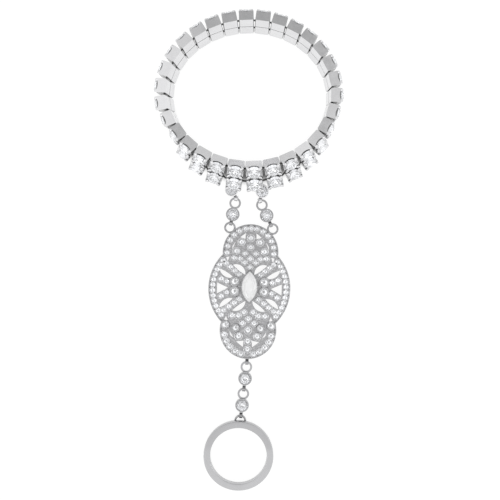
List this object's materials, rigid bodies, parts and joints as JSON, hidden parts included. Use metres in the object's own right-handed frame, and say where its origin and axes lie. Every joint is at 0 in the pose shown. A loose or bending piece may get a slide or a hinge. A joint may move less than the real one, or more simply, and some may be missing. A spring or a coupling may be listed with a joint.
{
  "type": "hand chain bracelet",
  "caption": "Stretch wrist bracelet of double rows of box-set stones with a pierced plaque for the back of the hand, joined by set-stone links to a plain finger ring, laid flat.",
  "frame": {"origin": "centre of the wrist opening, on the surface that the bracelet lies on", "axes": "+Y from the finger ring to the wrist, the longest way; +X across the hand; +Z away from the surface, the shortest way"},
  "size_m": [0.0574, 0.1473, 0.0114],
  "materials": {
    "plated_metal": "bright rhodium-look plating",
    "cast_metal": "plated casting, darker in its recesses",
    "brushed_band": "finely brushed plated band",
    "clear_crystal": "cut clear crystal, foiled back",
    "elastic": "clear stretch cord"
  },
  "bodies": {
    "root": {"cup_link_01": "plated_metal", "cup_link_02": "plated_metal", "cup_link_03": "plated_metal", "cup_link_04": "plated_metal", "cup_link_05": "plated_metal", "cup_link_06": "plated_metal", "cup_link_07": "plated_metal", "cup_link_08": "plated_metal", "cup_link_09": "plated_metal", "cup_link_10": "plated_metal", "cup_link_11": "plated_metal", "cup_link_12": "plated_metal", "cup_link_13": "plated_metal", "cup_link_14": "plated_metal", "cup_link_15": "plated_metal", "cup_link_16": "plated_metal", "cup_link_17": "plated_metal", "cup_link_18": "plated_metal", "cup_link_19": "plated_metal", "cup_link_20": "plated_metal", "cup_link_21": "plated_metal", "cup_link_22": "plated_metal", "cup_link_23": "plated_metal", "cup_link_24": "plated_metal", "cup_link_25": "plated_metal", "cup_link_26": "plated_metal", "cup_link_27": "plated_metal", "cup_link_28": "plated_metal", "cup_link_29": "plated_metal", "cup_link_30": "plated_metal", "upper_row_stones": "clear_crystal", "lower_row_stones": "clear_crystal", "upper_elastic": "elastic", "lower_elastic": "elastic", "left_connector": "plated_metal", "right_connector": "plated_metal", "upper_drop": "plated_metal", "lower_drop": "plated_metal", "connector_stones": "clear_crystal", "plaque": "cast_metal", "marquise_stone": "clear_crystal", "accent_stones": "clear_crystal", "pave_stones": "clear_crystal", "finger_ring": "brushed_band"}
  },
  "joints": []
}
